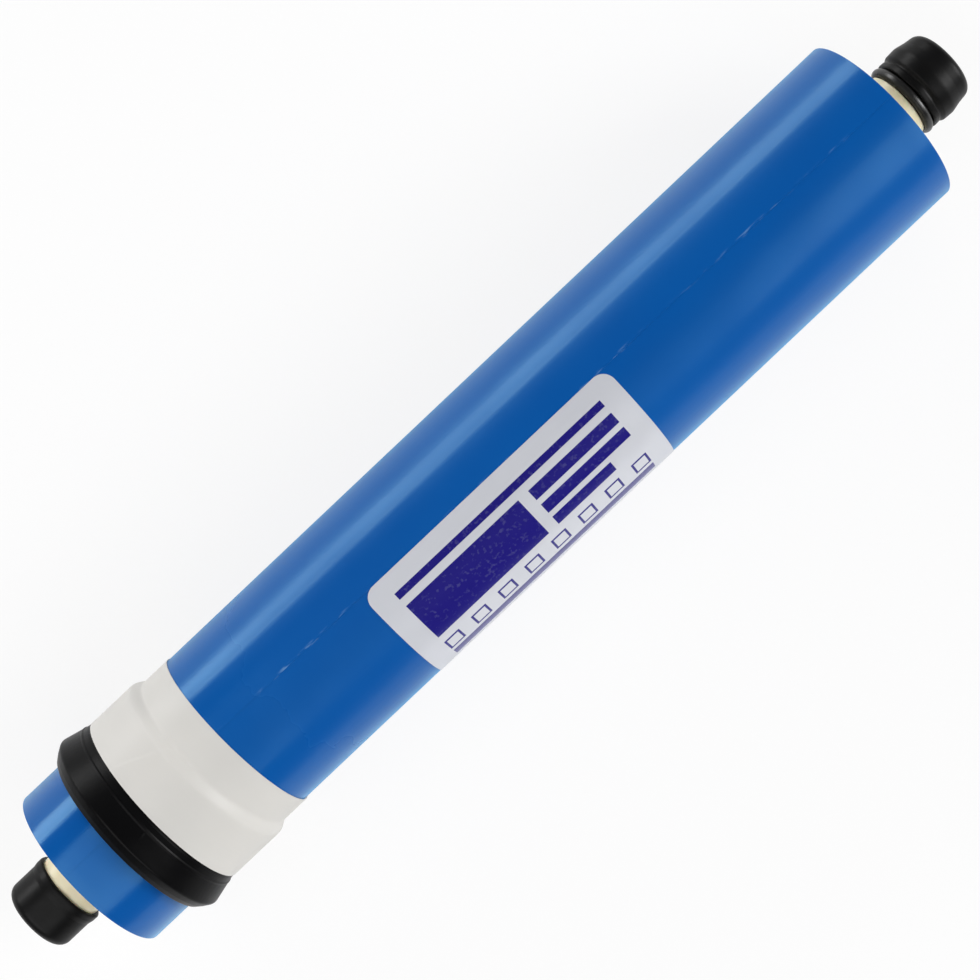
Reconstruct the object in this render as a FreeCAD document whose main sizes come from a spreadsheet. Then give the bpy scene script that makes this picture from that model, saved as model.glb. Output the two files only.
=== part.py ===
import FreeCAD, Part
import os
from math import sqrt

import Sketcher

# Spiral-wound reverse-osmosis element of the 1812 size, with its two rubber transit caps.
# Frame, in millimetres: X is the element's axis and points from the feed end to the product end.
# The origin is on the axis, half way along the wound roll, and the element lies level with +Z up.

SIZES = {
    # permeate tube
    "tube_radius": 8.5,
    "tube_bore_radius": 5.5,
    "feed_stub": 17.0,
    "product_stub": 19.0,
    "end_web": 3.0,
    "tube_lead_in": 0.8,
    "drain_hole_radius": 1.0,
    "drain_hole_pitch": 40.0,
    "drain_hole_count": 6,
    # O-rings near the product end, and the grooves that hold them
    "ring_section_radius": 1.2,
    "groove_depth": 1.25,
    "groove_width": 2.8,
    "first_groove_offset": 7.0,
    "groove_spacing": 5.8,
    # wound roll
    "roll_length": 254.0,
    "roll_radius": 22.25,
    "membrane_thickness": 0.15,
    "spacer_thickness": 0.86,
    "spacer_recess": 0.8,
    "carrier_thickness": 0.65,
    # film round the roll: thinner under the seal, and lapped over at the seam
    "wrap_thickness": 0.5,
    "seat_wrap_thickness": 0.15,
    "film_thickness": 0.1,
    "overlap_sweep": 29.0,
    "seam_turn": -6.0,
    # brine seal: a skirt on the roll, and a lip that opens towards the feed end
    "seal_offset": 16.0,
    "seal_base_thickness": 1.3,
    "lip_overhang": 3.4,
    "lip_length": 10.6,
    "lip_rim_height": 3.7,
    "lip_tip_height": 2.4,
    "lip_tip_thickness": 0.5,
    "lip_bevel_length": 2.2,
    "lip_groove_depth": 4.0,
    "heel_step": 0.5,
    "skirt_thickness": 1.75,
    "skirt_length": 12.4,
    "skirt_taper": 2.2,
    # tape that holds the skirt down
    "tape_gap": 0.3,
    "tape_thickness": 0.2,
    "tape_on_wrap": 9.0,
    # product label
    "label_offset": 91.6,
    "label_length": 74.4,
    "label_sweep": 106.0,
    "label_thickness": 0.12,
    "label_corner": 3.4,
    # rubber transit caps
    "cap_wall": 0.75,
    "cap_end_wall": 1.2,
    "cap_rim_bead": 0.25,
    "cap_rim_length": 1.6,
    "cap_corner": 2.2,
    "feed_cap_grip": 10.2,
    "product_cap_grip": 10.8,
    "cap_over_ring": 0.35,
    "cap_bulge_half_width": 3.6,
}

document = FreeCAD.newDocument("ro_membrane_element")
sheet = document.addObject("Spreadsheet::Sheet", "Sizes")
for row, (alias, value) in enumerate(SIZES.items(), start=1):
    sheet.set(f"A{row}", alias)
    sheet.set(f"B{row}", str(value))
    sheet.setAlias(f"B{row}", alias)
document.recompute()


def size(alias):
    """A driving size as a number, for what is built with Part's own functions."""
    return float(sheet.get(alias))


# Places along the axis and radii that several pieces share, as expressions on the sheet.
FEED_FACE = "-Sizes.roll_length / 2"
PRODUCT_FACE = "Sizes.roll_length / 2"
TUBE_FEED_END = f"({FEED_FACE} - Sizes.feed_stub)"
TUBE_PRODUCT_END = f"({PRODUCT_FACE} + Sizes.product_stub)"
FIRST_GROOVE = f"({PRODUCT_FACE} + Sizes.first_groove_offset)"
SECOND_GROOVE = f"({FIRST_GROOVE} + Sizes.groove_spacing)"
GROOVE_FLOOR = "(Sizes.tube_radius - Sizes.groove_depth)"
RING_OUTSIDE = f"({GROOVE_FLOOR} + 2 * Sizes.ring_section_radius)"
WRAP_RADIUS = "(Sizes.roll_radius + Sizes.wrap_thickness)"
SEAT_RADIUS = "(Sizes.roll_radius + Sizes.seat_wrap_thickness)"
SEAL_FRONT = f"({FEED_FACE} + Sizes.seal_offset)"
LIP_FRONT = f"({SEAL_FRONT} - Sizes.lip_overhang)"
SKIRT_START = f"({LIP_FRONT} + Sizes.lip_length)"
SKIRT_END = f"({SKIRT_START} + Sizes.skirt_length)"
TAPER_END = f"({SKIRT_END} + Sizes.skirt_taper)"
SKIRT_RADIUS = f"({SEAT_RADIUS} + Sizes.skirt_thickness)"
TAPE_START = f"({SKIRT_START} + Sizes.tape_gap)"
TAPE_END = f"({TAPER_END} + Sizes.tape_on_wrap)"
LABEL_START = f"({FEED_FACE} + Sizes.label_offset)"
LABEL_END = f"({LABEL_START} + Sizes.label_length)"


def new_body(label):
    body = document.addObject("PartDesign::Body", label)
    body.Label = label
    return body


def new_sketch(body, plane, name):
    sketch = body.newObject("Sketcher::SketchObject", name)
    origin_plane = next(item for item in body.Origin.OriginFeatures if item.Role == plane)
    sketch.AttachmentSupport = (origin_plane, [""])
    sketch.MapMode = "FlatFace"
    return sketch


def join(sketch, first, first_end, second, second_end):
    sketch.addConstraint(Sketcher.Constraint("Coincident", first, first_end, second, second_end))


def on_x_axis(sketch, line, end):
    sketch.addConstraint(Sketcher.Constraint("PointOnObject", line, end, -1))


def bind(sketch, kind, geometry, point, guess, expression):
    """Add a dimension to a sketch and tie it to the sheet."""
    index = sketch.addConstraint(Sketcher.Constraint(kind, geometry, point, guess))
    sketch.setExpression(f"Constraints[{index}]", expression)


def outline_sketch(body, name, corners):
    """A closed outline in the XZ plane from (x, radius) expressions; no radius means on the axis."""
    sketch = new_sketch(body, "XZ_Plane", name)
    count = len(corners)
    # any crossing-free start will do, because the dimensions below place every corner
    guess = [FreeCAD.Vector(i, i * (count - i), 0) for i in range(count)]
    for i in range(count):
        sketch.addGeometry(Part.LineSegment(guess[i], guess[(i + 1) % count]), False)
    for i in range(count):
        join(sketch, i, 2, (i + 1) % count, 1)
    for i, (along, radius) in enumerate(corners):
        bind(sketch, "DistanceX", i, 1, guess[i].x, along)
        if radius is None:
            on_x_axis(sketch, i, 1)
        else:
            bind(sketch, "DistanceY", i, 1, guess[i].y, radius)
    return sketch


def revolve(body, sketch, sweep="360"):
    """Turn a sketch about the element's axis, through an angle in degrees."""
    revolution = body.newObject("PartDesign::Revolution", f"{sketch.Name}_revolution")
    revolution.Profile = sketch
    revolution.ReferenceAxis = (sketch, ["H_Axis"])
    revolution.setExpression("Angle", sweep)
    document.recompute()
    return revolution


def turned(label, corners, sweep="360"):
    """A piece turned about the element's axis from an outline of (x, radius) corners."""
    body = new_body(label)
    revolve(body, outline_sketch(body, f"{label}_profile", corners), sweep)
    return body


def turn_to_seam(body):
    """Turn a piece about the axis, so that its XZ plane lies on the film's seam."""
    body.Placement = FreeCAD.Placement(FreeCAD.Vector(), FreeCAD.Rotation(FreeCAD.Vector(1, 0, 0), 1))
    body.setExpression("Placement.Rotation.Angle", "Sizes.seam_turn")
    document.recompute()


def permeate_tube():
    """Moulded tube, closed at the feed end, with two O-ring grooves and a row of drain holes."""
    end_radius = "Sizes.tube_radius - Sizes.tube_lead_in"
    corners = [
        (TUBE_FEED_END, None),
        (TUBE_FEED_END, end_radius),
        (f"{TUBE_FEED_END} + Sizes.tube_lead_in", "Sizes.tube_radius"),
    ]
    for centre in (FIRST_GROOVE, SECOND_GROOVE):
        left = f"{centre} - Sizes.groove_width / 2"
        right = f"{centre} + Sizes.groove_width / 2"
        corners += [(left, "Sizes.tube_radius"), (left, GROOVE_FLOOR)]
        corners += [(right, GROOVE_FLOOR), (right, "Sizes.tube_radius")]
    corners += [
        (f"{TUBE_PRODUCT_END} - Sizes.tube_lead_in", "Sizes.tube_radius"),
        (TUBE_PRODUCT_END, end_radius),
        (TUBE_PRODUCT_END, "Sizes.tube_bore_radius"),
        (f"{TUBE_FEED_END} + Sizes.end_web", "Sizes.tube_bore_radius"),
        (f"{TUBE_FEED_END} + Sizes.end_web", None),
    ]
    body = turned("permeate_tube", corners)

    row_length = "(Sizes.drain_hole_count - 1) * Sizes.drain_hole_pitch"
    sketch = new_sketch(body, "XY_Plane", "drain_hole_outline")
    sketch.addGeometry(Part.Circle(FreeCAD.Vector(-1, 0, 0), FreeCAD.Vector(0, 0, 1), 1), False)
    on_x_axis(sketch, 0, 3)
    bind(sketch, "DistanceX", 0, 3, -1, f"-{row_length} / 2")
    sketch.setExpression(
        f"Constraints[{sketch.addConstraint(Sketcher.Constraint('Radius', 0, 1))}]",
        "Sizes.drain_hole_radius",
    )
    hole = body.newObject("PartDesign::Pocket", "drain_hole")
    hole.Profile = sketch
    hole.Type = "ThroughAll"
    hole.Midplane = True
    document.recompute()
    row = body.newObject("PartDesign::LinearPattern", "drain_hole_row")
    row.Originals = [hole]
    row.Direction = (sketch, ["H_Axis"])
    row.setExpression("Length", row_length)
    row.setExpression("Occurrences", "Sizes.drain_hole_count")
    body.Tip = row
    document.recompute()
    return body


def o_ring(label, centre):
    """Rubber ring of round section, seated on its groove's floor."""
    body = new_body(label)
    sketch = new_sketch(body, "XZ_Plane", f"{label}_section")
    sketch.addGeometry(Part.Circle(FreeCAD.Vector(1, 9, 0), FreeCAD.Vector(0, 0, 1), 1), False)
    bind(sketch, "DistanceX", 0, 3, 1, centre)
    bind(sketch, "DistanceY", 0, 3, 9, f"{GROOVE_FLOOR} + Sizes.ring_section_radius")
    sketch.setExpression(
        f"Constraints[{sketch.addConstraint(Sketcher.Constraint('Radius', 0, 1))}]",
        "Sizes.ring_section_radius",
    )
    revolve(body, sketch)
    return body


def spiral_edges(x, start_radius, pitch, half_turns):
    """Tangent half-turn arcs about two centres half a pitch apart, in a plane across the axis."""
    edges = []
    for i in range(half_turns):
        side = 1 if i % 2 == 0 else -1
        centre = 0 if i % 2 == 0 else pitch / 2
        radius = start_radius + i * pitch / 2
        begin = FreeCAD.Vector(x, centre + side * radius, 0)
        middle = FreeCAD.Vector(x, centre, side * radius)
        finish = FreeCAD.Vector(x, centre - side * radius, 0)
        edges.append(Part.Arc(begin, middle, finish).toShape())
    return edges


def wound_sheet(start_radius, thickness, pitch, half_turns, length):
    """A sheet wound into a roll: two parallel spirals, closed at both ends and drawn out along X."""
    x = -length / 2
    inside = spiral_edges(x, start_radius, pitch, half_turns)
    outside = spiral_edges(x, start_radius + thickness, pitch, half_turns)
    begin = Part.makeLine(inside[0].Vertexes[0].Point, outside[0].Vertexes[0].Point)
    finish = Part.makeLine(inside[-1].Vertexes[-1].Point, outside[-1].Vertexes[-1].Point)
    face = Part.Face(Part.Wire(Part.__sortEdges__(inside + outside + [begin, finish])))
    return face.extrude(FreeCAD.Vector(length, 0, 0))


def wound_pieces():
    """The membrane leaf folded round its feed spacer, and the permeate carrier between its turns."""
    membrane = size("membrane_thickness")
    spacer = size("spacer_thickness")
    carrier = size("carrier_thickness")
    roll = size("roll_radius")
    length = size("roll_length")
    leaf = 2 * membrane + spacer
    pitch = leaf + carrier
    leaf_start = size("tube_radius") + carrier
    half_turns = int(2 * (roll - carrier - leaf - leaf_start) / pitch) + 1
    feed_face = FreeCAD.Vector(-length / 2, 0, 0)
    along = FreeCAD.Vector(1, 0, 0)

    # the leaf's fold closes the inner end of the spacer's channel
    fold = Part.makeBox(length, leaf, membrane, feed_face + FreeCAD.Vector(0, leaf_start, -membrane))
    leaf_roll = wound_sheet(leaf_start, leaf, pitch, half_turns, length).fuse(fold)
    channel = wound_sheet(leaf_start + membrane, spacer, pitch, half_turns, length)
    spacer_length = length - 2 * size("spacer_recess")
    core = Part.makeCylinder(size("tube_radius"), length, feed_face, along)
    shapes = {
        "membrane_leaf": leaf_roll.cut(channel).removeSplitter(),
        "feed_spacer": wound_sheet(leaf_start + membrane, spacer, pitch, half_turns, spacer_length),
        "permeate_carrier": Part.makeCylinder(roll, length, feed_face, along).cut([core, leaf_roll]),
    }
    pieces = []
    for label, shape in shapes.items():
        piece = document.addObject("Part::Feature", label)
        piece.Label = label
        piece.Shape = shape
        piece.Placement = FreeCAD.Placement()
        pieces.append(piece)
    return pieces


def outer_wrap():
    """Film round the roll: fewer turns where the seal sits, and its last end lapped over."""
    corners = [
        (FEED_FACE, "Sizes.roll_radius"),
        (FEED_FACE, SEAT_RADIUS),
        (TAPER_END, SEAT_RADIUS),
        (TAPER_END, WRAP_RADIUS),
        (PRODUCT_FACE, WRAP_RADIUS),
        (PRODUCT_FACE, "Sizes.roll_radius"),
    ]
    body = turned("outer_wrap", corners)
    laps = [
        ("feed_lap", FEED_FACE, SEAL_FRONT, SEAT_RADIUS),
        ("main_lap", TAPE_END, PRODUCT_FACE, WRAP_RADIUS),
    ]
    for name, begin, finish, film_inside in laps:
        film_outside = f"{film_inside} + Sizes.film_thickness"
        corners = [
            (begin, "Sizes.roll_radius"),
            (begin, film_outside),
            (finish, film_outside),
            (finish, "Sizes.roll_radius"),
        ]
        lap = revolve(body, outline_sketch(body, name, corners), "Sizes.overlap_sweep")
        lap.Reversed = True
    turn_to_seam(body)
    return body


def brine_seal():
    """U-cup ring: its skirt grips the wrap's seat, its lip flares against the vessel's bore."""
    base_radius = f"{SEAT_RADIUS} + Sizes.seal_base_thickness"
    groove_root = f"{SEAL_FRONT} + Sizes.lip_groove_depth"
    tip_radius = f"({SEAT_RADIUS} + Sizes.lip_tip_height)"
    rim_radius = f"({SEAT_RADIUS} + Sizes.lip_rim_height)"
    corners = [
        (SEAL_FRONT, SEAT_RADIUS),
        (SEAL_FRONT, base_radius),
        (groove_root, base_radius),
        (LIP_FRONT, f"{tip_radius} - Sizes.lip_tip_thickness"),
        (LIP_FRONT, tip_radius),
        (f"{LIP_FRONT} + 0.4 * Sizes.lip_bevel_length", f"0.25 * {tip_radius} + 0.75 * {rim_radius}"),
        (f"{LIP_FRONT} + Sizes.lip_bevel_length", rim_radius),
        (f"{SKIRT_START} - Sizes.heel_step", f"{SKIRT_RADIUS} + Sizes.tape_thickness"),
        (SKIRT_START, SKIRT_RADIUS),
        (SKIRT_END, SKIRT_RADIUS),
        (TAPER_END, WRAP_RADIUS),
        (TAPER_END, SEAT_RADIUS),
    ]
    return turned("brine_seal", corners)


def seal_tape():
    """White tape, wound over the skirt and on to the wrap beyond it."""
    corners = [
        (TAPE_START, SKIRT_RADIUS),
        (TAPE_START, f"{SKIRT_RADIUS} + Sizes.tape_thickness"),
        (SKIRT_END, f"{SKIRT_RADIUS} + Sizes.tape_thickness"),
        (TAPER_END, f"{WRAP_RADIUS} + Sizes.tape_thickness"),
        (TAPE_END, f"{WRAP_RADIUS} + Sizes.tape_thickness"),
        (TAPE_END, WRAP_RADIUS),
        (TAPER_END, WRAP_RADIUS),
        (SKIRT_END, SKIRT_RADIUS),
    ]
    return turned("seal_tape", corners)


def corner_waste(sketch, place, inward, side):
    """Draw what is cut off a label corner at x = place: inward and side say where the label lies."""
    edge_line = sketch.GeometryCount
    arc, end_line = edge_line + 1, edge_line + 2
    corner = size("label_corner")
    on_edge = FreeCAD.Vector(inward * corner, 0, 0)
    on_end = FreeCAD.Vector(0, side * corner, 0)
    middle = (on_edge + on_end) * (1 - sqrt(0.5))
    sketch.addGeometry(Part.LineSegment(FreeCAD.Vector(), on_edge), False)
    sketch.addGeometry(Part.Arc(on_edge, middle, on_end), False)
    sketch.addGeometry(Part.LineSegment(on_end, FreeCAD.Vector()), False)
    # an arc is stored anticlockwise, so two of the four corners start at their other end
    arc_begin, arc_finish = (1, 2) if inward * side < 0 else (2, 1)
    join(sketch, edge_line, 2, arc, arc_begin)
    join(sketch, arc, arc_finish, end_line, 1)
    join(sketch, end_line, 2, edge_line, 1)
    on_x_axis(sketch, edge_line, 1)
    on_x_axis(sketch, edge_line, 2)
    centre_x = f"{place} + {inward} * Sizes.label_corner"
    bind(sketch, "DistanceX", edge_line, 1, 0, place)
    bind(sketch, "DistanceX", edge_line, 2, on_edge.x, centre_x)
    bind(sketch, "DistanceX", arc, 3, on_edge.x, centre_x)
    bind(sketch, "DistanceX", end_line, 1, 0, place)
    bind(sketch, "DistanceY", end_line, 1, on_end.y, f"{side} * Sizes.label_corner")


def product_label():
    """Curved rectangle with rounded corners, stuck on the wrap with one long edge at the seam."""
    surface = f"{WRAP_RADIUS} + Sizes.label_thickness"
    corners = [
        (LABEL_START, WRAP_RADIUS),
        (LABEL_START, surface),
        (LABEL_END, surface),
        (LABEL_END, WRAP_RADIUS),
    ]
    body = turned("product_label", corners, "Sizes.label_sweep")
    for name, turn, side in (("seam_corners", "0", -1), ("far_corners", "Sizes.label_sweep", 1)):
        sketch = new_sketch(body, "XY_Plane", f"{name}_waste")
        sketch.AttachmentOffset = FreeCAD.Placement(
            FreeCAD.Vector(), FreeCAD.Rotation(FreeCAD.Vector(1, 0, 0), 1)
        )
        sketch.setExpression("AttachmentOffset.Rotation.Angle", turn)
        corner_waste(sketch, LABEL_START, 1, side)
        corner_waste(sketch, LABEL_END, -1, side)
        pocket = body.newObject("PartDesign::Pocket", name)
        pocket.Profile = sketch
        pocket.Type = "ThroughAll"
        pocket.Reversed = True
        document.recompute()
    turn_to_seam(body)
    return body


def transit_cap(label, tube_end, grip, away, ring_centre=None):
    """Push-on rubber cup over a tube end; away is the sign of X out of the tube's end."""
    toward = "-" if away == "+" else "+"
    outside = "(Sizes.tube_radius + Sizes.cap_wall)"
    bead = f"({outside} + Sizes.cap_rim_bead)"
    rim = f"({tube_end} {toward} {grip})"
    tip = f"({tube_end} {away} Sizes.cap_end_wall)"
    inner = [(rim, "Sizes.tube_radius")]
    outer = [(rim, bead), (f"{rim} {away} Sizes.cap_rim_length", bead)]
    if ring_centre:
        # the cup is stretched over the ring under it
        flat = "Sizes.groove_width / 2"
        slope = "Sizes.cap_bulge_half_width"
        crown = f"({RING_OUTSIDE} + Sizes.cap_over_ring)"
        inner += [
            (f"{ring_centre} {toward} {slope}", "Sizes.tube_radius"),
            (f"{ring_centre} {toward} {flat}", RING_OUTSIDE),
            (f"{ring_centre} {away} {flat}", RING_OUTSIDE),
            (f"{ring_centre} {away} {slope}", "Sizes.tube_radius"),
        ]
        outer += [
            (f"{ring_centre} {toward} {flat}", crown),
            (f"{ring_centre} {away} {flat}", crown),
            (f"{ring_centre} {away} {slope}", outside),
        ]
    else:
        outer += [(f"{rim} {away} 2 * Sizes.cap_rim_length", outside)]
    inner += [(tube_end, "Sizes.tube_radius"), (tube_end, None)]
    # the moulded corner of the cup, in two bevels
    outer += [
        (f"{tip} {toward} Sizes.cap_corner", outside),
        (f"{tip} {toward} 0.3 * Sizes.cap_corner", f"{outside} - 0.3 * Sizes.cap_corner"),
        (tip, f"{outside} - Sizes.cap_corner"),
        (tip, None),
    ]
    return turned(label, inner[::-1] + outer)


parts = [
    permeate_tube(),
    o_ring("inner_o_ring", FIRST_GROOVE),
    o_ring("outer_o_ring", SECOND_GROOVE),
    *wound_pieces(),
    outer_wrap(),
    brine_seal(),
    seal_tape(),
    product_label(),
    transit_cap("feed_cap", TUBE_FEED_END, "Sizes.feed_cap_grip", "-"),
    transit_cap("product_cap", TUBE_PRODUCT_END, "Sizes.product_cap_grip", "+", SECOND_GROOVE),
]
document.recompute()

for item in document.Objects:
    if "Invalid" in item.State or "Error" in item.State:
        raise RuntimeError(f"{item.Name} did not build: {item.State}")
for part in parts:
    if part.Shape.isNull() or not part.Shape.isValid():
        raise RuntimeError(f"{part.Label} has no valid shape")

os.makedirs("parts", exist_ok=True)
for part in parts:
    part.Shape.exportStep(f"parts/{part.Label}.step")
    box = part.Shape.BoundBox
    print(f"{part.Label:18s} solids {len(part.Shape.Solids)}  volume {part.Shape.Volume:10.1f}"
          f"  x {box.XMin:8.2f} {box.XMax:8.2f}  z {box.ZMin:7.2f} {box.ZMax:7.2f}")
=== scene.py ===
import math

import bmesh
import bpy
from mathutils import Matrix, Vector


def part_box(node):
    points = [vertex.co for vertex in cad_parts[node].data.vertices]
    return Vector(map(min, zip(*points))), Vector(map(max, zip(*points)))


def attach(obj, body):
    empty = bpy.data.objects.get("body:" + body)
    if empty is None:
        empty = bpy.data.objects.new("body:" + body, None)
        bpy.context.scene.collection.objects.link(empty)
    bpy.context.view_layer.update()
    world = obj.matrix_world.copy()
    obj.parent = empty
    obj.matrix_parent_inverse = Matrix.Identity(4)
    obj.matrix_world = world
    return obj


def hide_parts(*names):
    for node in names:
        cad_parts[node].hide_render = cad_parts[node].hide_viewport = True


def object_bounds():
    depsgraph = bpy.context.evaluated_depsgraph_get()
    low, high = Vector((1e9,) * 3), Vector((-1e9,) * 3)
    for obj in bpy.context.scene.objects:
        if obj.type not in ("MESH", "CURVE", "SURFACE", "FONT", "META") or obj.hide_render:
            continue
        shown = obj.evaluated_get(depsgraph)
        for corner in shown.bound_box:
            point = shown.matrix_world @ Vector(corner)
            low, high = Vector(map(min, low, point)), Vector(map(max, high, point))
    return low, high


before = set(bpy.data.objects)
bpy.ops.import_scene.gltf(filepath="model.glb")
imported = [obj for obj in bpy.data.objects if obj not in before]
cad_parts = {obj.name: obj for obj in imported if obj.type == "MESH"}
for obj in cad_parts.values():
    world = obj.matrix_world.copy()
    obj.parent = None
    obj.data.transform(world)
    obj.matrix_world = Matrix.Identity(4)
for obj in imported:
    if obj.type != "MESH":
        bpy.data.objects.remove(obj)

# The element lies along X with its feed end towards -X. An angle phi goes round the axis from
# the top towards -Y, so that the film's seam and the label are named by it.

MM = 0.001
DEGREE = math.pi / 180


cad_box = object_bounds()

# ---------------------------------------------------------------- places, from the CAD parts' boxes

TUBE_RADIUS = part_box("permeate_tube")[1].z
ROLL_RADIUS = -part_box("permeate_carrier")[0].z
FEED_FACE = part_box("outer_wrap")[0].x
PRODUCT_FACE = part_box("outer_wrap")[1].x
WRAP_RADIUS = -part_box("outer_wrap")[0].z
SEAL_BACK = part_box("brine_seal")[1].x
SEAL_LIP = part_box("brine_seal")[0].x
SEAL_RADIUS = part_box("brine_seal")[1].z
TAPE_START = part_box("seal_tape")[0].x
TAPE_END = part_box("seal_tape")[1].x
TAPE_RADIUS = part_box("seal_tape")[1].z
LABEL_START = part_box("product_label")[0].x
LABEL_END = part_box("product_label")[1].x
FLOOR_LEVEL = cad_box[0].z

# ---------------------------------------------------------------- sizes that the boxes don't give

SEAT_RADIUS = ROLL_RADIUS + 0.15 * MM
SEAM = -6 * DEGREE
LAP_SWEEP = 29 * DEGREE
FILM = 0.05 * MM
TAPE_THICKNESS = 0.2 * MM
SKIRT_RADIUS = TAPE_RADIUS - TAPE_THICKNESS
LABEL_SWEEP = 106 * DEGREE
LABEL_THICKNESS = 0.12 * MM
LABEL_CORNER = 3.4 * MM
MEMBRANE = 0.15 * MM
CARRIER = 0.65 * MM
NET_THICKNESS = 0.86 * MM
NET_START = TUBE_RADIUS + CARRIER + MEMBRANE
LEAF_PITCH = 2 * MEMBRANE + NET_THICKNESS + CARRIER
HALF_TURNS = 13

# ---------------------------------------------------------------- the photograph's viewpoint

CAMERA_X = 5.9 * MM
CAMERA_HEIGHT = 475 * MM
CAMERA_AIM = 1.6 * MM
AXIS_SLOPE = 43.37 * DEGREE
FOCAL_LENGTH = 74.5
SENSOR_WIDTH = 36

# ---------------------------------------------------------------- meshes


def polar(x, radius, phi):
    return Vector((x, -radius * math.sin(phi), radius * math.cos(phi)))


def smoothstep(value, start, finish):
    """0 before start, 1 after finish, and an even S between them."""
    part = min(max((value - start) / (finish - start), 0), 1)
    return part * part * (3 - 2 * part)


def rounded(corners, steps=5):
    """An outline of (x, radius from the axis, rounding) corners, each rounded off by an arc."""
    outline = []
    for i, (x, radius, rounding) in enumerate(corners):
        here = Vector((x, radius))
        if not rounding:
            outline.append(here)
            continue
        back = (Vector(corners[i - 1][:2]) - here).normalized()
        ahead = (Vector(corners[(i + 1) % len(corners)][:2]) - here).normalized()
        half = back.angle(ahead) / 2
        centre = here + (back + ahead).normalized() * rounding / math.sin(half)
        start = here + back * rounding / math.tan(half) - centre
        turn = math.copysign(math.pi - 2 * half, ahead.cross(back))
        for step in range(steps + 1):
            outline.append(centre + Matrix.Rotation(turn * step / steps, 2) @ start)
    return outline


def divided(outline, spacing):
    """The outline with points added on its long runs, for surfaces that aren't quite even."""
    points = []
    for i, here in enumerate(outline):
        ahead = outline[(i + 1) % len(outline)]
        count = max(1, math.ceil((ahead - here).length / spacing))
        points += [here.lerp(ahead, step / count) for step in range(count)]
    return points


def round_angles(count, extra=()):
    """Evenly spaced angles round the axis, and the extra ones that don't fall on them, in order."""
    even = [math.tau * i / count - math.pi for i in range(count)]
    apart = 0.005 * DEGREE
    return sorted(even + [phi for phi in extra if min(abs(phi - other) for other in even) > apart])


def new_piece(name, mesh, material, node):
    """Finish a mesh as a piece of the element that stands for one CAD node."""
    mesh.set_sharp_from_angle(angle=40 * DEGREE)
    mesh.materials.append(material)
    piece = bpy.data.objects.new(name, mesh)
    bpy.context.scene.collection.objects.link(piece)
    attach(piece, "root")
    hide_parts(node)
    return piece


def mesh_from(name, points, faces):
    """A smooth mesh whose faces all look outwards."""
    mesh = bpy.data.meshes.new(name)
    mesh.from_pydata(points, [], faces)
    shape = bmesh.new()
    shape.from_mesh(mesh)
    bmesh.ops.recalc_face_normals(shape, faces=shape.faces)
    shape.to_mesh(mesh)
    shape.free()
    mesh.shade_smooth()
    return mesh


def turned(name, outline, angles, place=None):
    """A closed outline carried all the way round the axis; place may move each point a little."""
    points = []
    for phi in angles:
        for x, radius in outline:
            if place:
                x, radius = place(x, radius, phi)
            points.append(polar(x, radius, phi))
    size, rings = len(outline), len(angles)
    faces = []
    for ring in range(rings):
        following = (ring + 1) % rings
        for i in range(size):
            j = (i + 1) % size
            faces.append((ring * size + i, ring * size + j,
                          following * size + j, following * size + i))
    return mesh_from(name, points, faces)


# ---------------------------------------------------------------- materials


def srgb(red, green, blue):
    """A display colour in 0 to 255 as the linear colour that a shader takes."""
    return tuple(((c / 255 + 0.055) / 1.055) ** 2.4 if c > 10 else c / 255 / 12.92
                 for c in (red, green, blue)) + (1,)


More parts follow.
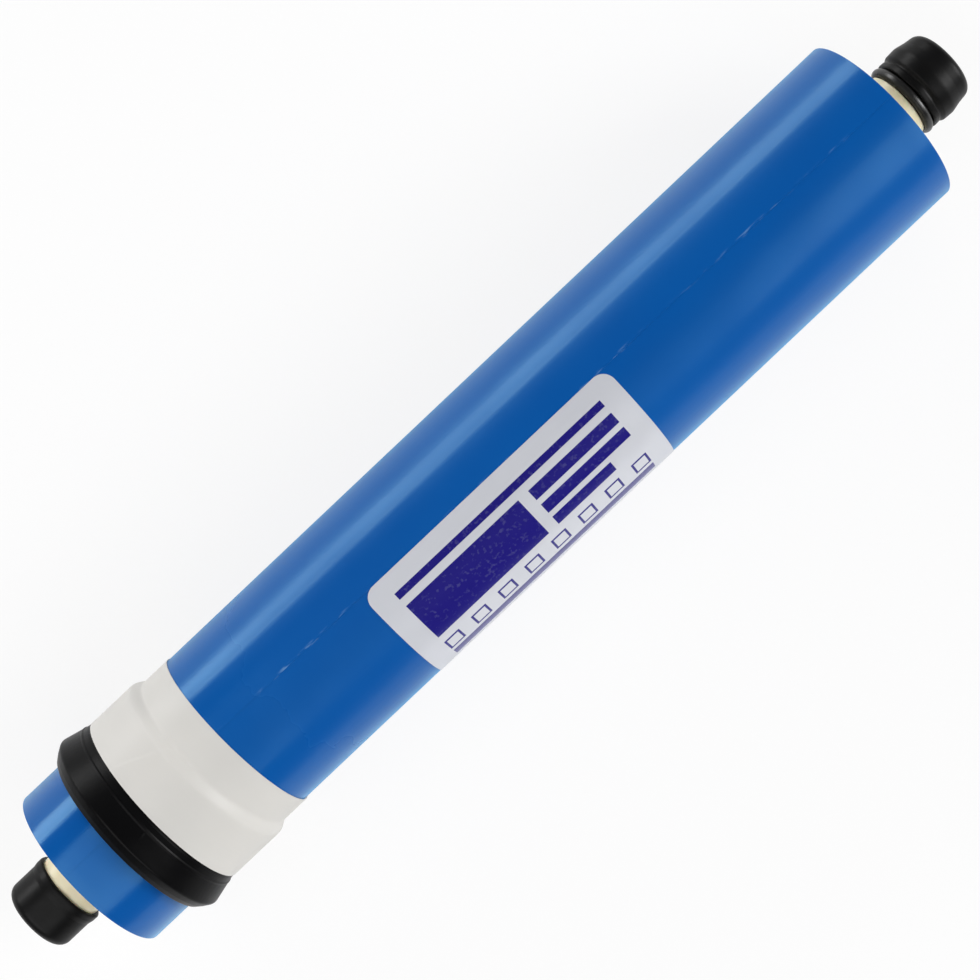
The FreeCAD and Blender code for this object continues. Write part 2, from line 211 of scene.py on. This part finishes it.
class Surface:
    """A Principled material, with short calls for the nodes that vary it."""

    def __init__(self, name, colour, roughness, **constants):
        self.material = bpy.data.materials.new(name)
        self.material.use_nodes = True
        self.nodes = self.material.node_tree.nodes
        self.links = self.material.node_tree.links
        self.shader = self.nodes["Principled BSDF"]
        self.shader.inputs["Base Color"].default_value = colour
        self.shader.inputs["Roughness"].default_value = roughness
        for socket, value in constants.items():
            self.shader.inputs[socket.replace("_", " ")].default_value = value
        self.place = self.node("TexCoord").outputs["Object"]
        split = self.node("SeparateXYZ", Vector=self.place)
        self.x = split.outputs["X"]
        self.phi = self.math("ARCTAN2", self.math("MULTIPLY", split.outputs["Y"], -1), split.outputs["Z"])

    def feed(self, socket, value):
        if isinstance(value, bpy.types.NodeSocket):
            self.links.new(value, socket)
        else:
            socket.default_value = value

    def node(self, kind, **inputs):
        made = self.nodes.new(f"ShaderNode{kind}")
        for socket, value in inputs.items():
            self.feed(made.inputs[socket.replace("_", " ")], value)
        return made

    def math(self, operation, *values):
        made = self.nodes.new("ShaderNodeMath")
        made.operation = operation
        for socket, value in zip(made.inputs, values):
            self.feed(socket, value)
        return made.outputs[0]

    def ramp(self, value, low, high, from_low=0.0, from_high=1.0):
        """Carry a value's range on to another, with clamped ends."""
        made = self.node("MapRange", Value=value, To_Min=low, To_Max=high,
                         From_Min=from_low, From_Max=from_high)
        return made.outputs["Result"]

    def noise(self, scale, detail=2.0, stretch=(1, 1, 1)):
        """Noise with a scale in features a metre, stretched along the axes."""
        moved = self.node("Mapping", Vector=self.place, Scale=stretch)
        made = self.node("TexNoise", Vector=moved.outputs[0], Scale=scale, Detail=detail)
        return made.outputs["Fac"]

    def unrolled(self, along, across, offset=0.0):
        """A vector in metres along the axis and round the wrap, each scaled."""
        arc = self.math("MULTIPLY", self.phi, WRAP_RADIUS * across)
        made = self.node("CombineXYZ", X=self.math("MULTIPLY", self.x, along), Y=arc, Z=offset)
        return made.outputs[0]

    def mix(self, factor, first, second):
        made = self.nodes.new("ShaderNodeMix")
        made.data_type = "RGBA"
        self.feed(made.inputs["Factor"], factor)
        self.feed(made.inputs[6], first)
        self.feed(made.inputs[7], second)
        return made.outputs[2]

    def between(self, value, low, high, edge):
        """1 between low and high and 0 outside, over a soft edge."""
        rise = self.ramp(value, 0.0, 1.0, low - edge, low + edge)
        fall = self.ramp(value, 1.0, 0.0, high - edge, high + edge)
        return self.math("MULTIPLY", rise, fall)

    def colour(self, value):
        self.feed(self.shader.inputs["Base Color"], value)

    def rough(self, value):
        self.feed(self.shader.inputs["Roughness"], value)

    def bump(self, *layers):
        """Bump from (height, depth in metres) layers, each on top of the last."""
        normal = None
        for height, depth in layers:
            made = self.node("Bump", Height=height, Distance=depth)
            if normal:
                self.links.new(normal, made.inputs["Normal"])
            normal = made.outputs["Normal"]
        self.links.new(normal, self.shader.inputs["Normal"])


def blue_film():
    """Glossy blue polymer film, with air specks trapped along the seam."""
    film = Surface("blue_film", srgb(0, 80, 155), 0.34, Coat_Weight=0.03, Coat_Roughness=0.06,
                   Specular_IOR_Level=0.5, Specular_Tint=(0.3, 0.75, 1, 1), Sheen_Weight=1.0,
                   Sheen_Roughness=0.35, Sheen_Tint=(0.16, 0.6, 1, 1))
    cloud = film.noise(28, 3)
    base = film.mix(cloud, srgb(0, 74, 152), srgb(0, 84, 163))
    dashes = film.node("TexNoise", Vector=film.unrolled(260, 1500), Scale=1.0, Detail=3.0)
    patches = film.node("TexNoise", Vector=film.unrolled(30, 0, 4.0), Scale=1.0, Detail=1.0)
    air = film.ramp(dashes.outputs["Fac"], 0.0, 1.0, 0.52, 0.68)
    air = film.math("MULTIPLY", air, film.ramp(patches.outputs["Fac"], 0.0, 1.0, 0.45, 0.62))
    seam = film.between(film.phi, SEAM - 1.2 * DEGREE, SEAM + 0.4 * DEGREE, 0.5 * DEGREE)
    specks = film.math("MULTIPLY", film.math("MULTIPLY", air, seam), 0.5)
    film.colour(film.mix(specks, base, srgb(150, 190, 225)))
    # smoothest at the feed end, where one tight layer lies under the seal
    finish = film.ramp(film.x, 0.19, 0.32, TAPE_START, TAPE_START + 60 * MM)
    uneven = film.ramp(film.noise(45, 4), -0.06, 0.06)
    film.rough(film.math("ADD", finish, uneven))
    lines = film.node("TexNoise", Vector=film.unrolled(12, 900), Scale=1.0, Detail=2.0)
    film.bump((film.noise(22, 2), 0.9 * MM), (lines.outputs["Fac"], 0.012 * MM),
              (film.noise(300, 3), 0.01 * MM))
    return film.material


def seal_rubber():
    """Moulded black rubber with a faint bloom and flow marks."""
    rubber = Surface("seal_rubber", srgb(8, 8, 8), 0.32, Specular_IOR_Level=0.08)
    bloom = rubber.noise(120, 5)
    rubber.colour(rubber.mix(bloom, srgb(4, 4, 5), srgb(10, 10, 11)))
    rubber.rough(rubber.ramp(rubber.noise(90, 3), 0.26, 0.40))
    rubber.bump((rubber.noise(700, 4), 0.03 * MM), (rubber.noise(60, 2, (2.5, 1, 1)), 0.15 * MM))
    return rubber.material


def cap_rubber():
    """Smooth dipped rubber, a little glossier than the seal."""
    rubber = Surface("cap_rubber", srgb(11, 11, 11), 0.36, Specular_IOR_Level=0.12)
    rubber.colour(rubber.mix(rubber.noise(160, 4), srgb(7, 7, 7), srgb(15, 15, 16)))
    rubber.rough(rubber.ramp(rubber.noise(140, 3), 0.30, 0.46))
    rubber.bump((rubber.noise(900, 3), 0.02 * MM), (rubber.noise(140, 2), 0.12 * MM))
    return rubber.material


def ring_rubber():
    rubber = Surface("o_ring_rubber", srgb(16, 16, 16), 0.28, Specular_IOR_Level=0.5)
    rubber.rough(rubber.ramp(rubber.noise(500, 3), 0.22, 0.36))
    rubber.bump((rubber.noise(1800, 3), 0.01 * MM))
    return rubber.material


def white_tape():
    """White vinyl tape, stretched, with what lies under it showing faintly."""
    tape = Surface("white_tape", srgb(214, 212, 208), 0.5)
    cloud = tape.noise(40, 3)
    tape.colour(tape.mix(cloud, srgb(202, 201, 197), srgb(214, 211, 206)))
    tape.rough(tape.ramp(tape.noise(200, 3), 0.44, 0.56))
    weave = tape.node("TexNoise", Vector=tape.unrolled(1500, 90), Scale=1.0, Detail=2.0)
    tape.bump((weave.outputs["Fac"], 0.012 * MM), (tape.noise(70, 2), 0.12 * MM))
    return tape.material


def cream_plastic():
    """Cream moulded ABS with the faint rings of its mould."""
    plastic = Surface("cream_plastic", srgb(228, 218, 184), 0.34, Subsurface_Weight=0.1,
                      Subsurface_Scale=0.002)
    plastic.colour(plastic.mix(plastic.noise(90, 3), srgb(232, 220, 184), srgb(240, 231, 200)))
    plastic.rough(plastic.ramp(plastic.noise(400, 3), 0.28, 0.40))
    rings = plastic.node("TexNoise", Vector=plastic.unrolled(2500, 30), Scale=1.0, Detail=2.0)
    plastic.bump((rings.outputs["Fac"], 0.01 * MM))
    return plastic.material


def sheet_surface(name, dark, light, roughness, fibre):
    """Cloth, net or membrane seen on its cut edge: fine fibres across a pale ground."""
    cloth = Surface(name, light, roughness, Sheen_Weight=0.15)
    threads = cloth.noise(fibre, 4, (0.2, 1, 1))
    cloth.colour(cloth.mix(threads, dark, light))
    cloth.bump((threads, 0.08 * MM), (cloth.noise(fibre * 3, 2), 0.03 * MM))
    return cloth.material


# The label's print, in millimetres from the label's middle along the axis and from its edge at
# the seam: filled fields, and a row of empty boxes.
FIELDS = ((-31.5, 31.5, 4.6, 6.4), (-31.5, 3.0, 8.4, 20.4), (6.0, 31.5, 8.4, 11.4),
          (6.0, 31.5, 12.9, 15.9), (6.0, 24.0, 17.4, 20.4), (-31.5, 31.5, 29.0, 32.6))
BOX_COUNT = 8
BOX_SIZE = 4.6
BOX_LINE = 0.6
BOX_LEFT = -31.5
BOX_PITCH = 8.34
BOX_TOP = 23.0


def silver_label():
    """Silver-grey sticker with a bare border and plain navy fields for print."""
    label = Surface("silver_label", srgb(203, 205, 212), 0.34, Metallic=0.15, Coat_Weight=0.15,
                    Coat_Roughness=0.15)
    middle = (LABEL_START + LABEL_END) / 2
    along = label.math("SUBTRACT", label.x, middle)
    across = label.math("MULTIPLY", label.math("SUBTRACT", label.phi, SEAM), WRAP_RADIUS)

    def field(left, right, top, bottom):
        edge = 0.04 * MM
        inside = label.between(along, left * MM, right * MM, edge)
        return label.math("MULTIPLY", inside, label.between(across, top * MM, bottom * MM, edge))

    ink = field(*FIELDS[0])
    for filled in FIELDS[1:]:
        ink = label.math("MAXIMUM", ink, field(*filled))
    for i in range(BOX_COUNT):
        left = BOX_LEFT + i * BOX_PITCH
        right, bottom = left + BOX_SIZE, BOX_TOP + BOX_SIZE
        frame_ink = field(left, right, BOX_TOP, bottom)
        hole = field(left + BOX_LINE, right - BOX_LINE, BOX_TOP + BOX_LINE, bottom - BOX_LINE)
        ink = label.math("MAXIMUM", ink, label.math("SUBTRACT", frame_ink, hole))
    worn = label.math("MULTIPLY", ink, label.ramp(label.noise(900, 4), 0.94, 1.0, 0.3, 0.45))
    ground = label.mix(label.noise(50, 3), srgb(198, 200, 208), srgb(210, 212, 218))
    label.colour(label.mix(worn, ground, srgb(20, 10, 122)))
    label.rough(label.ramp(worn, 0.36, 0.24))
    label.bump((label.noise(60, 2), 0.15 * MM), (worn, 0.008 * MM))
    return label.material


# ---------------------------------------------------------------- pieces


def film_unevenness(x, phi):
    """How far the tight film stands in or out over the leaves' edges."""
    long_wave = math.sin(3 * phi + 21 * x + 0.7) + 0.6 * math.sin(5 * phi - 34 * x + 2.1)
    return 0.02 * MM * long_wave


def wrap_film():
    """The film as one tube: thin under the seal, and lapped over from the seam towards +Y."""
    corners = [
        (FEED_FACE, ROLL_RADIUS, 0),
        (FEED_FACE, SEAT_RADIUS, 0.12 * MM),
        (SEAL_BACK, SEAT_RADIUS, 0),
        (SEAL_BACK, WRAP_RADIUS, 0),
        (PRODUCT_FACE, WRAP_RADIUS, 0.18 * MM),
        (PRODUCT_FACE, ROLL_RADIUS, 0),
    ]
    # the lap is pressed flat where the tape hides it
    hidden_start = TAPE_START
    hidden_end = TAPE_END - 1 * MM

    def place(x, radius, phi):
        if radius < SEAT_RADIUS - 0.14 * MM:
            return x, radius
        lap = smoothstep(phi, SEAM - LAP_SWEEP, SEAM - LAP_SWEEP + 5 * DEGREE) if phi < SEAM else 0
        radius += film_unevenness(x, phi)
        if not hidden_start < x < hidden_end:
            radius += FILM * lap
        return x, radius

    seam_edges = [SEAM - 0.02 * DEGREE, SEAM + 0.02 * DEGREE]
    drape = [SEAM - LAP_SWEEP + step * 0.5 * DEGREE for step in range(11)]
    angles = round_angles(240, seam_edges + drape)
    mesh = turned("wrap_film", divided(rounded(corners), 3 * MM), angles, place)
    return new_piece("wrap_film", mesh, blue_film(), "outer_wrap")


def seal():
    """The moulded U-cup: a lip bevelled up to its rim, and a fine ridge before the tape."""
    front = SEAL_LIP + 3.4 * MM
    base = SEAT_RADIUS + 1.0 * MM
    tip = SEAT_RADIUS + 1.7 * MM
    heel = SEAL_LIP + 10.1 * MM
    skirt_start = SEAL_LIP + 10.6 * MM
    skirt_end = SEAL_BACK - 3.2 * MM
    ridge = heel - 1.5 * MM
    slope = (SEAL_RADIUS - TAPE_RADIUS) / (heel - SEAL_LIP - 3.0 * MM)
    ridge_radius = TAPE_RADIUS + slope * (heel - ridge)
    corners = [
        (front, SEAT_RADIUS, 0),
        (front, base, 0.3 * MM),
        (front + 4 * MM, base, 0),
        (SEAL_LIP, tip - 0.3 * MM, 0.12 * MM),
        (SEAL_LIP, tip, 0.15 * MM),
        (SEAL_LIP + 1.3 * MM, 0.5 * tip + 0.5 * SEAL_RADIUS, 0.8 * MM),
        (SEAL_LIP + 3.0 * MM, SEAL_RADIUS + 0.02 * MM, 1.1 * MM),
        (ridge - 0.5 * MM, ridge_radius + slope * 0.5 * MM, 0.3 * MM),
        (ridge, ridge_radius + 0.14 * MM, 0.2 * MM),
        (ridge + 0.35 * MM, ridge_radius - 0.14 * MM, 0.15 * MM),
        (heel, TAPE_RADIUS, 0.15 * MM),
        (skirt_start, SKIRT_RADIUS, 0),
        (skirt_end, SKIRT_RADIUS, 0),
        (SEAL_BACK, WRAP_RADIUS, 0),
        (SEAL_BACK, SEAT_RADIUS, 0),
    ]
    mark_x, mark_phi = heel - 3 * MM, 6 * DEGREE

    def place(x, radius, phi):
        if radius < base + 0.5 * MM or x > heel:
            return x, radius
        radius += 0.04 * MM * math.sin(2 * phi + 1) + 0.02 * MM * math.sin(7 * phi)
        near = ((x - mark_x) / (0.7 * MM)) ** 2 + ((phi - mark_phi) / (0.7 * DEGREE)) ** 2
        return x, radius + 0.14 * MM * math.exp(-near)

    fine = [mark_phi + step * 0.25 * DEGREE for step in range(-7, 8)]
    outline = divided(rounded(corners, 6), 0.5 * MM)
    mesh = turned("lip_seal", outline, round_angles(200, fine), place)
    return new_piece("lip_seal", mesh, seal_rubber(), "brine_seal")


def tape():
    """Tape drawn tight over the skirt's end: a soft step, a slanted edge and a slanted cut end."""
    step_middle = SEAL_BACK - 1.5 * MM
    corners = [
        (TAPE_START, 0, 0),
        (TAPE_START, TAPE_THICKNESS, 0),
        (TAPE_END, TAPE_THICKNESS, 0),
        (TAPE_END, 0, 0),
    ]
    outline = divided(rounded(corners), 0.4 * MM)

    def place(x, height, phi):
        edge_slant = 0.35 * MM + 0.65 * MM * math.sin(phi)
        reach = smoothstep(x, step_middle, TAPE_END)
        x += reach * edge_slant
        step = step_middle + 0.75 * MM * math.sin(phi) + 1.85 * MM * (1 - math.cos(phi))
        on_skirt = 1 - smoothstep(x, step - 1.3 * MM, step + 1.9 * MM)
        radius = WRAP_RADIUS + (SKIRT_RADIUS - WRAP_RADIUS) * on_skirt
        crease = math.exp(-((x - step - 1.6 * MM) / (0.5 * MM)) ** 2)
        radius -= 0.07 * MM * crease
        cut_end = -33 * DEGREE + (x - TAPE_START) / (TAPE_END - TAPE_START) * 25 * DEGREE
        second_turn = smoothstep(phi, cut_end, cut_end + 0.6 * DEGREE) * (phi < 90 * DEGREE)
        second_turn += phi >= 90 * DEGREE
        radius += 0.09 * MM * second_turn
        return x, radius + height

    mesh = turned("skirt_tape", outline, round_angles(420), place)
    return new_piece("skirt_tape", mesh, white_tape(), "seal_tape")


def label():
    """A curved sheet with round corners and one long edge at the seam."""
    middle = (LABEL_START + LABEL_END) / 2
    height = LABEL_SWEEP * WRAP_RADIUS
    corner_steps, rows, columns = 8, 60, 60
    turns = [90 * DEGREE * step / corner_steps for step in range(corner_steps + 1)]
    edge = [(LABEL_CORNER * (1 - math.cos(turn)), LABEL_CORNER * (1 - math.sin(turn)))
            for turn in turns]
    strips = list(edge)
    for row in range(1, rows):
        strips.append((LABEL_CORNER + (height - 2 * LABEL_CORNER) * row / rows, 0))
    strips += [(height - across, inset) for across, inset in reversed(edge)]
    points = []
    for radius in (WRAP_RADIUS, WRAP_RADIUS + LABEL_THICKNESS):
        for across, inset in strips:
            for column in range(columns + 1):
                start, finish = LABEL_START + inset, LABEL_END - inset
                x = start + (finish - start) * column / columns
                phi = SEAM + across / WRAP_RADIUS
                points.append(polar(x, radius + film_unevenness(x, phi), phi))
    width = columns + 1
    layer = len(strips) * width
    faces = []
    for base in (0, layer):
        for row in range(len(strips) - 1):
            for column in range(columns):
                corner = base + row * width + column
                faces.append((corner, corner + 1, corner + width + 1, corner + width))
    rim = list(range(width))
    rim += [row * width + columns for row in range(1, len(strips))]
    rim += [layer - 1 - column for column in range(1, width)]
    rim += [row * width for row in range(len(strips) - 2, 0, -1)]
    for here, ahead in zip(rim, rim[1:] + rim[:1]):
        faces.append((here, ahead, ahead + layer, here + layer))
    mesh = mesh_from("data_label", points, faces)
    return new_piece("data_label", mesh, silver_label(), "product_label")


def cap_place(rim, toward_end, ripples):
    """Ripples in a stretched cap's rim, which die out towards its end."""
    def place(x, radius, phi):
        if radius < TUBE_RADIUS + 0.2 * MM:
            return x, radius
        from_rim = (x - rim) * toward_end
        fade = 1 - smoothstep(from_rim, 0.5 * MM, 4 * MM)
        ripple = math.sin(ripples * phi + 0.4) + 0.5 * math.sin((2 * ripples - 1) * phi + 1.3)
        return x + 0.08 * MM * fade * ripple, radius + 0.05 * MM * fade * ripple
    return place


def cap(name, node, rubber, rim, tip, outside, inside, ripples):
    """A rubber cup; outside and inside are (distance from the rim, radius, rounding) corners."""
    toward_end = math.copysign(1, tip - rim)
    corners = [(rim + toward_end * along, radius, rounding)
               for along, radius, rounding in outside + inside]
    outline = divided(rounded(corners, 8), 0.4 * MM)
    mesh = turned(name, outline, round_angles(128), cap_place(rim, toward_end, ripples))
    return new_piece(name, mesh, rubber, node)


def caps():
    rubber = cap_rubber()
    end_wall = 1.2 * MM
    hub = 0.02 * MM  # the outline is a ring, so it stops just short of the axis
    low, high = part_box("feed_cap")
    bead = high.z
    length = high.x - low.x
    wall = bead - 0.25 * MM
    outside = [
        (0, TUBE_RADIUS, 0.2 * MM),
        (0, bead, 0.5 * MM),
        (1.7 * MM, bead, 0.5 * MM),
        (3.0 * MM, wall, 1.5 * MM),
        (length, wall, 2.4 * MM),
        (length, hub, 0),
    ]
    inside = [(length - end_wall, hub, 0), (length - end_wall, TUBE_RADIUS, 0)]
    cap("feed_end_cap", "feed_cap", rubber, high.x, low.x, outside, inside, 5)

    low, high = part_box("product_cap")
    crown = high.z
    length = high.x - low.x
    ring_low, ring_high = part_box("outer_o_ring")
    ring = (ring_low.x + ring_high.x) / 2 - low.x
    outside = [
        (0, TUBE_RADIUS, 0.2 * MM),
        (0, bead, 0.55 * MM),
        (1.5 * MM, bead - 0.05 * MM, 0.4 * MM),
        (2.0 * MM, bead - 0.3 * MM, 0.5 * MM),
        (2.9 * MM, crown - 0.1 * MM, 0.9 * MM),
        (ring + 1.0 * MM, crown + 0.05 * MM, 3 * MM),
        (ring + 3.6 * MM, wall + 0.2 * MM, 2.5 * MM),
        (length, wall - 0.3 * MM, 2.2 * MM),
        (length, hub, 0),
    ]
    inside = [
        (length - end_wall, hub, 0),
        (length - end_wall, TUBE_RADIUS, 0),
        (ring + 3.6 * MM, TUBE_RADIUS, 0),
        (ring + 1.4 * MM, ring_high.z, 0),
        (ring - 1.4 * MM, ring_high.z, 0),
        (ring - 3.6 * MM, TUBE_RADIUS, 0),
    ]
    cap("product_end_cap", "product_cap", rubber, low.x, high.x, outside, inside, 7)


def half_turn_radius(half_turn):
    """The radius of the net's middle on one of its half-turn arcs."""
    return NET_START + NET_THICKNESS / 2 + half_turn * LEAF_PITCH / 2


def spiral_place(arc, offset):
    """(y, z) on the spacer's spiral at a length along it, at an offset out from its inner face."""
    half_turn = 0
    while half_turn < HALF_TURNS - 1 and arc > math.pi * half_turn_radius(half_turn):
        arc -= math.pi * half_turn_radius(half_turn)
        half_turn += 1
    angle = half_turn * math.pi + arc / half_turn_radius(half_turn)
    centre = LEAF_PITCH / 2 if half_turn % 2 else 0
    radius = NET_START + half_turn * LEAF_PITCH / 2 + offset
    return centre + radius * math.cos(angle), radius * math.sin(angle)


def spiral_length():
    return sum(math.pi * half_turn_radius(i) for i in range(HALF_TURNS))


def spacer_net():
    """The wound net: a core sheet, and at each end the open strands of its two layers."""
    low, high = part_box("feed_spacer")
    depth = 5 * MM
    strand_pitch = 2.8 * MM
    strand_radius = NET_THICKNESS / 4
    sides, steps = 6, 4
    whole = spiral_length()
    points, faces = [], []

    def quad_ring(first, second, size):
        for i in range(size):
            j = (i + 1) % size
            faces.append((first + i, first + j, second + j, second + i))

    # the core, which closes the view into the channel behind the strands
    core_steps = 420
    for step in range(core_steps + 1):
        arc = whole * step / core_steps
        for x, offset in ((low.x + depth, 0.1), (low.x + depth, 0.9), (high.x - depth, 0.9),
                          (high.x - depth, 0.1)):
            points.append(Vector((x, *spiral_place(arc, offset * NET_THICKNESS))))
        if step:
            quad_ring(4 * step - 4, 4 * step, 4)
    faces += [(0, 1, 2, 3), tuple(4 * core_steps + i for i in range(4))]

    for end, inward in ((low.x, 1), (high.x, -1)):
        for layer, slant in ((0.25, 1), (0.75, -1)):
            for strand in range(int((whole - 2 * depth) / strand_pitch)):
                root = depth + strand * strand_pitch
                first = len(points)
                for step in range(steps + 1):
                    along = depth * step / steps
                    arc = root + slant * along
                    y, z = spiral_place(arc, layer * NET_THICKNESS)
                    ahead_y, ahead_z = spiral_place(arc + 0.2 * MM, layer * NET_THICKNESS)
                    tangent = Vector((0, ahead_y - y, ahead_z - z)).normalized()
                    outward = Vector((0, tangent.z, -tangent.y))
                    side = (tangent - Vector((slant * inward, 0, 0))).normalized()
                    centre = Vector((end + inward * along, y, z))
                    for i in range(sides):
                        turn = math.tau * i / sides
                        points.append(centre + strand_radius * (math.cos(turn) * outward
                                                                + math.sin(turn) * side))
                    if step:
                        quad_ring(first + (step - 1) * sides, first + step * sides, sides)
                faces.append(tuple(first + i for i in range(sides)))
                faces.append(tuple(first + steps * sides + i for i in range(sides)))
    material = sheet_surface("spacer_net", srgb(172, 174, 174), srgb(214, 216, 214), 0.45, 900)
    return new_piece("spacer_strands", mesh_from("spacer_strands", points, faces), material,
                     "feed_spacer")


def dress(node, material):
    """Give a CAD node that keeps its shape its own material."""
    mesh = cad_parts[node].data
    mesh.materials.clear()
    mesh.materials.append(material)


# ---------------------------------------------------------------- floor, lights and camera


def floor():
    """Pale, and mostly white to the camera, but the object's shadow still falls on it."""
    mesh = bpy.data.meshes.new("studio_floor")
    reach = 12.0
    white_to_camera, white_in_mirrors = 0.85, 0.28
    mesh.from_pydata([(-reach, -reach, FLOOR_LEVEL), (reach, -reach, FLOOR_LEVEL),
                      (reach, reach, FLOOR_LEVEL), (-reach, reach, FLOOR_LEVEL)], [], [(0, 1, 2, 3)])
    ground = Surface("studio_floor", srgb(245, 245, 245), 0.9)
    tree = ground.material.node_tree
    seen = tree.nodes.new("ShaderNodeLightPath")
    plain = tree.nodes.new("ShaderNodeEmission")
    blend = tree.nodes.new("ShaderNodeMixShader")
    camera_share = ground.math("MULTIPLY", seen.outputs["Is Camera Ray"], white_to_camera)
    mirror_share = ground.math("MULTIPLY", seen.outputs["Is Glossy Ray"], white_in_mirrors)
    white_share = ground.math("ADD", camera_share, mirror_share)
    tree.links.new(white_share, blend.inputs[0])
    tree.links.new(ground.shader.outputs[0], blend.inputs[1])
    tree.links.new(plain.outputs[0], blend.inputs[2])
    tree.links.new(blend.outputs[0], tree.nodes["Material Output"].inputs["Surface"])
    mesh.materials.append(ground.material)
    ground_object = bpy.data.objects.new("studio_floor", mesh)
    bpy.context.scene.collection.objects.link(ground_object)


def softbox(name, place, size, watts, target=(0, 0, 0)):
    lamp = bpy.data.lights.new(name, "AREA")
    lamp.shape = "RECTANGLE"
    lamp.size, lamp.size_y = size
    lamp.energy = watts
    made = bpy.data.objects.new(name, lamp)
    made.location = place
    made.rotation_euler = (Vector(target) - Vector(place)).to_track_quat("-Z", "Y").to_euler()
    bpy.context.scene.collection.objects.link(made)


def panel(name, along, across, height, watts):
    """A level softbox that spans a range of x and of y."""
    middle = ((along[0] + along[1]) / 2, (across[0] + across[1]) / 2)
    size = (along[1] - along[0], across[1] - across[0])
    softbox(name, (*middle, height), size, watts, (*middle, 0))


def studio_world():
    """White to the camera and part of the way in reflections, and dim as a light."""
    fill, mirrored_white = 0.06, 0.14
    world = bpy.data.worlds.new("studio")
    world.use_nodes = True
    tree = world.node_tree
    seen = tree.nodes.new("ShaderNodeLightPath")
    mirrored = tree.nodes.new("ShaderNodeMath")
    mirrored.operation = "MULTIPLY_ADD"
    mirrored.inputs[1].default_value = mirrored_white
    mirrored.inputs[2].default_value = fill
    strength = tree.nodes.new("ShaderNodeMath")
    strength.operation = "ADD"
    strength.use_clamp = True
    tree.links.new(seen.outputs["Is Glossy Ray"], mirrored.inputs[0])
    tree.links.new(seen.outputs["Is Camera Ray"], strength.inputs[0])
    tree.links.new(mirrored.outputs[0], strength.inputs[1])
    background = tree.nodes["Background"]
    background.inputs["Color"].default_value = (1, 1, 1, 1)
    tree.links.new(strength.outputs[0], background.inputs["Strength"])
    bpy.context.scene.world = world


def lights():
    # each panel starts just past the roll, so only that end of the film mirrors its edge
    panel("product_panel", (0.38, 1.5), (-2.0, -0.45), 1.2, 15)
    panel("feed_panel", (-1.5, -0.42), (-1.7, 0.85), 1.2, 22)
    softbox("product_end", (1.5, -1.0, 0.7), (0.8, 0.8), 22)
    softbox("far_side", (0, 1.6, 0.35), (2.0, 0.5), 21)
    studio_world()


def camera():
    """Straight above the roll, with the element running up the frame's diagonal."""
    place = Vector((CAMERA_X, 0, CAMERA_HEIGHT))
    target = Vector((CAMERA_AIM, 0, 0))
    back = (place - target).normalized()
    along = (Vector((1, 0, 0)) - back.x * back).normalized()
    across = back.cross(along)
    right = math.cos(AXIS_SLOPE) * along - math.sin(AXIS_SLOPE) * across
    up = math.sin(AXIS_SLOPE) * along + math.cos(AXIS_SLOPE) * across
    lens = bpy.data.cameras.new("camera")
    lens.sensor_width = SENSOR_WIDTH
    lens.lens = FOCAL_LENGTH
    lens.clip_start = 0.01
    made = bpy.data.objects.new("camera", lens)
    made.matrix_world = Matrix((right, up, back)).transposed().to_4x4()
    made.location = place
    bpy.context.scene.collection.objects.link(made)
    bpy.context.scene.camera = made


wrap_film()
seal()
tape()
label()
caps()
spacer_net()
dress("permeate_tube", cream_plastic())
rings = ring_rubber()
dress("inner_o_ring", rings)
dress("outer_o_ring", rings)
dress("membrane_leaf", sheet_surface("membrane_sheet", srgb(196, 198, 190), srgb(232, 232, 224),
                                     0.5, 1500))
dress("permeate_carrier", sheet_surface("carrier_fabric", srgb(200, 194, 172),
                                        srgb(238, 233, 215), 0.7, 1800))
floor()
lights()
camera()
bpy.context.scene.view_settings.view_transform = "Standard"
